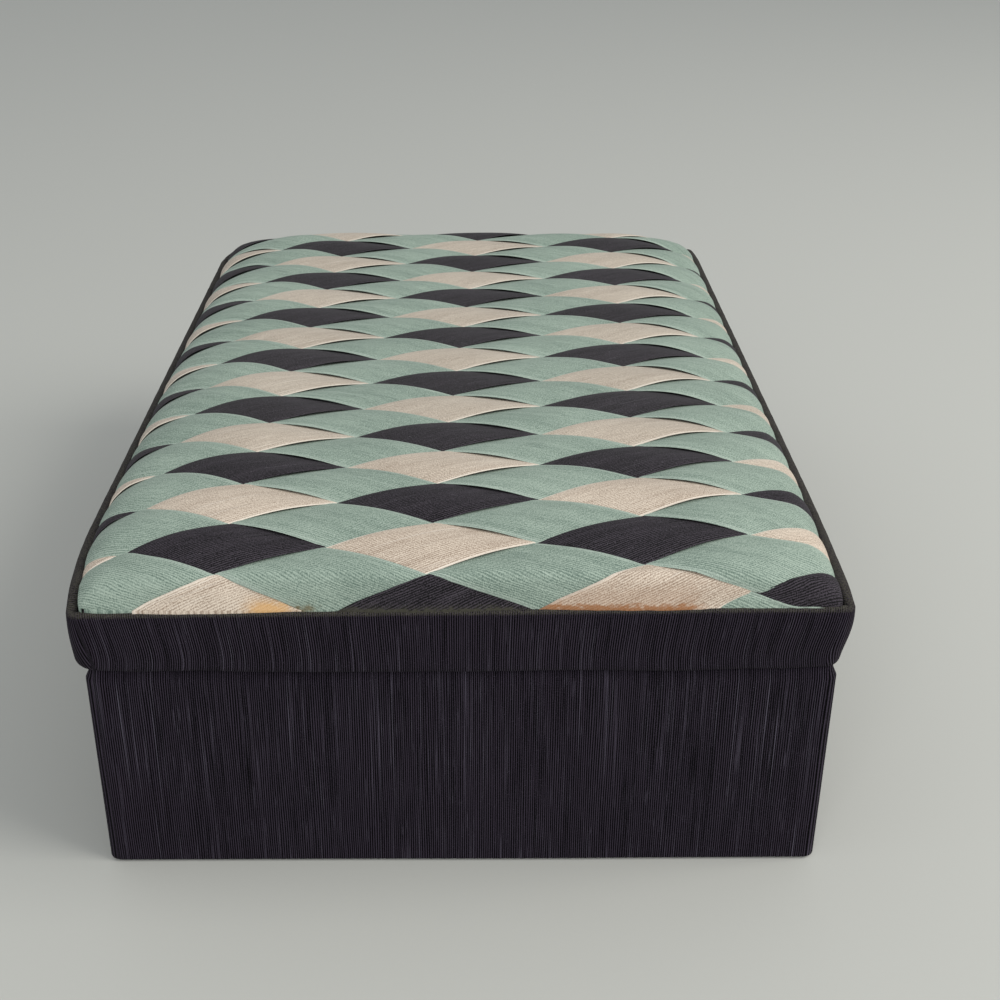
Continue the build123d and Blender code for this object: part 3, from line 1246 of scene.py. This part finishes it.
@dataclass(frozen=True)
class RimForm:
    """Shape of the rim's wall, on which its boards, tapes and cloth lie at their own insets."""

    plan: LidPlan = LidPlan()
    cloth: float = 0.4 * MM
    tape: float = 0.15 * MM
    board: float = 0.9 * MM
    wall: float = 1.85 * MM
    lip_dip: float = 2.0 * MM
    lip_slant: float = 0.5 * MM
    lip_radius: float = 1.6 * MM
    low_radius: float = 4.4 * MM
    left_lean: float = -0.2 * MM
    right_lean: float = 0.95 * MM
    lean_reach: float = 26 * MM
    lean_from: float = 0.2
    low_from: float = 0.5
    bulge: float = 0.5 * MM
    far_bulge: float = 0.4
    corner_lift: float = 0.45 * MM
    lift_reach: float = 12 * MM
    side_roll: float = 0.75 * MM
    roll_depth: float = 4 * MM
    roll_ease: float = 9 * MM
    roll_sway: float = 0.5
    roll_wave: float = 7 * MM
    ripple: float = 0.28 * MM
    ripple_wave: float = 24 * MM
    small_ripple: float = 0.1 * MM
    small_wave: float = 9 * MM
    fray: float = 0.07 * MM
    fray_wave: float = 3 * MM
    front_dip_reach: float = 8 * MM

    def wrap(self) -> Wrap:
        """Stations round the rim."""
        return Wrap(self.plan.half_width, self.plan.half_depth)

    def front_share(self, x: float, y: float) -> float:
        """How far a place has the low lip of the front."""
        return smooth_share((self.front_dip_reach - y - self.plan.half_depth) / self.front_dip_reach)

    def lip(self, station: Station) -> Pair:
        """Top height of the lip at a station, and its share of the front's low lip."""
        x, y = self.wrap().place(station, 0, self.lip_radius)
        front = self.front_share(x, y)
        slant = self.lip_slant * x / self.plan.half_width
        return LID_HIGH.z + (slant - self.lip_dip) * front, front

    def from_corner(self, station: Station) -> float:
        """Distance of a station from the nearest corner, along its side."""
        x, y = self.wrap().place(station, 0, self.lip_radius)
        if station.side % 2:
            return self.plan.half_depth - abs(y)
        return self.plan.half_width - abs(x)

    def spot(self, station: Station, inset: float, z: float) -> Point:
        """Place of a point of the wall.

        Args:
            station: Station round the rim.
            inset: Distance inside the outer face.
            z: Height before the rim's small irregularities.

        Returns:
            The point, with the bow, lean and bulge of the wall.
        """
        down = down_share(z)
        away = self.from_corner(station)
        near = smooth_share(1 - away / self.lean_reach)
        radius = between(self.lip_radius, self.low_radius, smooth_share(down))
        right = self.wrap().place(station, 0, radius)[0] > 0
        leaning = smooth_share((down - self.lean_from) / (1 - self.lean_from)) * near
        lean = (self.right_lean if right else self.left_lean) * leaning
        bulge = self.bulge * math.sin(math.pi * down) * between(self.far_bulge, 1, near)
        outer = 1 - min(inset / self.wall, 1)
        moved = inset + (lean - bulge) * outer
        if station.side % 2:
            full = smooth_share(1 - (LID_HIGH.z - z) / self.roll_depth) * smooth_share(away / self.roll_ease)
            roll = self.side_roll * (1 + self.roll_sway * wander(station.run / self.roll_wave, Seed.ROLL))
            moved += roll * full * (1 - outer)
        x, y = self.plan.bowed(*self.wrap().place(station, moved, radius))
        low = smooth_share((down - self.low_from) / (1 - self.low_from))
        ripple = self.ripple * wander(station.run / self.ripple_wave, Seed.RIPPLE)
        ripple += self.small_ripple * wander(station.run / self.small_wave, Seed.SMALL_RIPPLE)
        lifted = self.corner_lift * smooth_share(1 - away / self.lift_reach)
        frayed = self.fray * wander(station.run / self.fray_wave, Seed.FRAY)
        return x, y, z + (ripple + lifted) * low + frayed * (1 - low)


@dataclass
class RimCover:
    """The dark cloth of the lid: from inside the lip, down the rim and up its inner face."""

    form: RimForm = RimForm()
    inner_top: float = PAD_BOTTOM - 1.1 * MM
    inner_room: float = 0.6 * MM
    lid_board: float = BASE_HIGH.z + 0.2 * MM
    front_flat: float = 0.45
    low_stretch: float = 1.6
    rib_curl: float = 1.4 * MM
    curl_reach: float = 75 * MM
    lip_steps: int = 3
    arc_steps: int = 10
    wall_steps: int = 12
    end_steps: int = 4

    def path(self, top: float, front: float) -> list[Pair]:
        """Middle line of the wrap: insets and heights from inside the lip to inside the rim.

        Args:
            top: Height of the lip.
            front: Share of the front's low lip.

        Returns:
            Points, as many at every place.
        """
        half = self.form.cloth / 2
        radius = self.form.wall / 2 - half
        crest = radius * (1 - self.front_flat * front)
        turn = radius * self.low_stretch
        top -= half
        low = LID_LOW.z + half
        inner = self.form.wall - half
        points = [(inner, min(self.inner_top, top - crest - self.inner_room))]
        points += line(points[0], (inner, top - crest), self.lip_steps)
        points += arc((half + radius, top - crest), (radius, crest), 0, 180, self.arc_steps)
        points += line(points[-1], (half, low + turn), self.wall_steps)
        points += arc((half + radius, low + turn), (radius, turn), 180, 360, self.arc_steps)
        points += line(points[-1], (inner, self.lid_board - half), self.end_steps)
        points.append((inner, self.lid_board - half))
        return points

    def build(self) -> None:
        skin = Skin()
        rings = []
        for station in self.form.wrap().stations():
            near = smooth_share(1 - self.form.from_corner(station) / self.curl_reach)
            curl = self.rib_curl * near * (1 if station.share < 0.5 else -1)
            band = banded(self.path(*self.form.lip(station)), self.form.cloth)
            crest = band[self.lip_steps + self.arc_steps // 2][2]
            ring = []
            for inset, z, along in band:
                cloth = (station.run + curl * down_share(z) ** 4, along - crest)
                ring.append(skin.add(self.form.spot(station, inset, z), cloth))
            rings.append(ring)
        skin.tube(rings, closed=True)
        piece = skin.piece("rim_cover_cloth", "dark_cover_cloth", "rim_cover")
        around = 4 * (self.form.plan.half_width + self.form.plan.half_depth)
        path = self.path(LID_HIGH.z, 0)
        across = banded(path, self.form.cloth)[len(path) - 1][2]
        LOG.info("rim_cover_cloth: strip of %.1f by %.1f mm", across / MM, around / MM)


@dataclass
class RimBoards:
    """The four rim boards, the long ones run round the corners, and the tapes at the corners."""

    form: RimForm = RimForm()
    top_room: float = 0.75 * MM
    low_room: float = 0.85 * MM
    tape_lap: float = 12.0 * MM
    tape_gap: float = 0.02 * MM
    tape_room: float = 0.1 * MM

    def section(self, station: Station, inset: float, thickness: float, room: float) -> list[Pair]:
        """Upright rectangle of insets and heights at a station."""
        top = self.form.lip(station)[0] - self.top_room - room
        low = LID_LOW.z + self.low_room + room
        return [(inset, low), (inset + thickness, low), (inset + thickness, top), (inset, top)]

    def swept(
        self, skin: Skin, stations: Sequence[Station], inset: float, thickness: float, room: float = 0.0
    ) -> None:
        """Adds one upright slab along some stations."""
        rings = []
        for station in stations:
            section = self.section(station, inset, thickness, room)
            rings.append([skin.add(self.form.spot(station, i, z), (i, z)) for i, z in section])
        skin.tube(rings)
        for ring in (rings[0], rings[-1]):
            skin.faces.append(tuple(ring))

    def build(self) -> None:
        """Makes the boards and the tapes in place of their nodes."""
        stations = self.form.wrap().stations()
        for side, place in enumerate(("front", "right", "back", "left")):
            own = [s for s in stations if s.side == side and (side % 2 or s.turn == 0)]
            if side % 2:
                own = [s for s in stations if s.side == side - 1 and s.turn > 0] + own
            skin = Skin()
            self.swept(skin, own, self.form.cloth + self.form.tape, self.form.board)
            skin.piece(f"rim_{place}_board_card", "grey_card", f"rim_{place}_board")
        skin = Skin()
        near = [s for s in stations if self.form.from_corner(s) < self.tape_lap]
        inset, thickness = self.form.cloth + self.tape_gap, self.form.tape - 2 * self.tape_gap
        for side in range(4):
            lap = [s for s in near if s.side == side and s.share > 0.5]
            lap += [s for s in near if s.side == (side + 1) % 4 and s.share < 0.5]
            self.swept(skin, lap, inset, thickness, self.tape_room)
        skin.piece("rim_corner_tapes_paper", "paper_tape", "rim_corner_tapes")
        LOG.info("rim boards and corner tapes: %d stations", len(stations))


@dataclass
class BaseCover:
    """The dark cloth of the base: under the bottom, up the walls and over into the inside."""

    half_width: float = (BASE_HIGH.x - BASE_LOW.x) / 2
    half_depth: float = (BASE_HIGH.y - BASE_LOW.y) / 2
    cloth: float = 0.4 * MM
    wall: float = 2.95 * MM
    under_turn: float = 14 * MM
    inside_turn: float = 12 * MM
    radius: float = 1.3 * MM
    swell: float = 1.05 * MM
    swell_top: float = LID_LOW.z - 0.2 * MM
    swell_ease: float = 2.4 * MM
    swell_sway: float = 0.12 * MM
    swell_wave: float = 40 * MM
    bend: float = 0.45 * MM
    crest: float = 0.5 * MM
    turn_steps: int = 5
    wall_steps: int = 30
    crest_steps: int = 12

    def path(self) -> list[Pair]:
        """Middle line of the wrap: insets and heights from under the bottom to the inside."""
        half = self.cloth / 2
        low = BASE_LOW.z + half
        top = BASE_HIGH.z - half
        rounding = self.wall / 2 - half
        inner = self.wall - half
        points = [(self.under_turn, low)]
        points += line(points[0], (half + self.bend, low), self.turn_steps)
        points += arc((half + self.bend, low + self.bend), (self.bend, self.bend), 270, 180, self.turn_steps)
        points += line((half, low + self.bend), (half, top - self.crest), self.wall_steps)
        points += arc((half + rounding, top - self.crest), (rounding, self.crest), 180, 0, self.crest_steps)
        points += line((inner, top - self.crest), (inner, BASE_HIGH.z - self.inside_turn), self.turn_steps)
        points.append((inner, BASE_HIGH.z - self.inside_turn))
        return points

    def build(self) -> None:
        wrap = Wrap(self.half_width, self.half_depth, self.radius)
        skin = Skin()
        rings = []
        band = banded(self.path(), self.cloth)
        crest = max(band, key=lambda point: point[1])[2]
        for station in wrap.stations():
            puff = self.swell + self.swell_sway * wander(station.run / self.swell_wave, Seed.SWELL)
            ring = []
            for inset, z, along in band:
                outer = smooth_share((self.wall - inset) / self.wall * 2)
                below = smooth_share((self.swell_top - z) / self.swell_ease)
                x, y = wrap.place(station, inset - puff * below * outer, self.radius)
                ring.append(skin.add((x, y, z), (station.run, along - crest)))
            rings.append(ring)
        skin.tube(rings, closed=True)
        piece = skin.piece("base_cover_cloth", "dark_cover_cloth", "base_cover", Body.BASE)
        around = 4 * (self.half_width + self.half_depth)
        across = band[len(self.path()) - 1][2]
        LOG.info("base_cover_cloth: strip of %.1f by %.1f mm", across / MM, around / MM)


# Carried-over nodes


def dress_nodes() -> None:
    """Gives each node of the frame the finish of its slot."""
    for entry in frame["record"]["subparts"]:
        node = frame["nodes"][entry["node"]]
        material = material_of(entry["material_slot"])
        if not node.material_slots:
            node.data.materials.append(material)
        for slot in node.material_slots:
            slot.material = material


# Studio


@dataclass(frozen=True)
class Lamp:
    """A soft square lamp."""

    name: str
    place: Point
    size: float
    power: float
    colour: Colour
    aim: Point = (0, 0, 0.03)


@dataclass
class Studio:
    """Pale floor, soft light from the right and the camera."""

    floor_colour: Colour = screen_colour(190, 190, 184)
    floor_size: float = 12
    floor_grain: float = 1.2 * MM
    floor_mottle: float = 0.985
    floor_roughness: float = 0.75
    sky: Colour = (0.93, 0.97, 1.0)
    sky_strength: float = 0.54
    lamps: tuple[Lamp, ...] = (
        Lamp("window_lamp", (1.05, -0.3, 0.85), size=0.9, power=13.2, colour=(1.0, 0.985, 0.95)),
        Lamp("front_lamp", (-0.2, -1.25, 0.8), size=0.9, power=6.5, colour=(0.98, 0.99, 1.0)),
    )
    camera_place: Point = (1.25 * MM, -351.9 * MM, 207.5 * MM)
    tilt: float = 26.95
    turn: float = 0.32
    lens: float = 51.84
    sensor: float = 36
    nearest: float = 0.01
    shift: float = 0.0253

    def floor(self) -> None:
        """Makes the plain floor that the box stands on."""
        bpy.ops.mesh.primitive_plane_add(size=self.floor_size, location=(0, 0, 0))
        floor = bpy.context.active_object
        floor.name = "studio_floor"
        graph = Graph("studio_floor")
        deep = tuple(level * self.floor_mottle for level in self.floor_colour)
        colour = graph.mixed(graph.noise(self.floor_grain), deep, self.floor_colour)
        material = graph.finished({"Base Color": colour}, {"Roughness": self.floor_roughness})
        floor.data.materials.append(material)

    def light(self) -> None:
        """Makes the soft sky and the lamps."""
        world = bpy.data.worlds.new("studio_sky")
        world.use_nodes = True
        background = world.node_tree.nodes["Background"]
        background.inputs[0].default_value = (*self.sky, 1.0)
        background.inputs[1].default_value = self.sky_strength
        bpy.context.scene.world = world
        for lamp in self.lamps:
            data = bpy.data.lights.new(lamp.name, "AREA")
            data.size = lamp.size
            data.energy = lamp.power
            data.color = lamp.colour
            light = bpy.data.objects.new(lamp.name, data)
            light.location = lamp.place
            beam = Vector(lamp.aim) - Vector(lamp.place)
            light.rotation_euler = beam.to_track_quat("-Z", "Y").to_euler()
            bpy.context.scene.collection.objects.link(light)

    def camera(self) -> None:
        """Makes the camera at the viewing angle of the finished box."""
        data = bpy.data.cameras.new("view_camera")
        data.lens = self.lens
        data.sensor_width = self.sensor
        data.shift_x = self.shift
        data.clip_start = self.nearest
        camera = bpy.data.objects.new("view_camera", data)
        camera.location = self.camera_place
        camera.rotation_euler = (math.radians(90 - self.tilt), 0, -math.radians(self.turn))
        bpy.context.scene.collection.objects.link(camera)
        bpy.context.scene.camera = camera
        bpy.context.scene.view_settings.view_transform = "Standard"

    def build(self) -> None:
        """Sets the whole stage."""
        self.floor()
        self.light()
        self.camera()
        LOG.info("studio: %d lamps", len(self.lamps))


def main() -> None:
    """Builds and dresses the box from the stage up."""
    logging.basicConfig(level=logging.INFO, format="%(name)s %(message)s")
    Studio().build()
    dress_nodes()
    for assembly in (BaseCover(), RimBoards(), RimCover(), Wadding(), WovenPanel()):
        assembly.build()


if __name__ == "__main__":
    main()
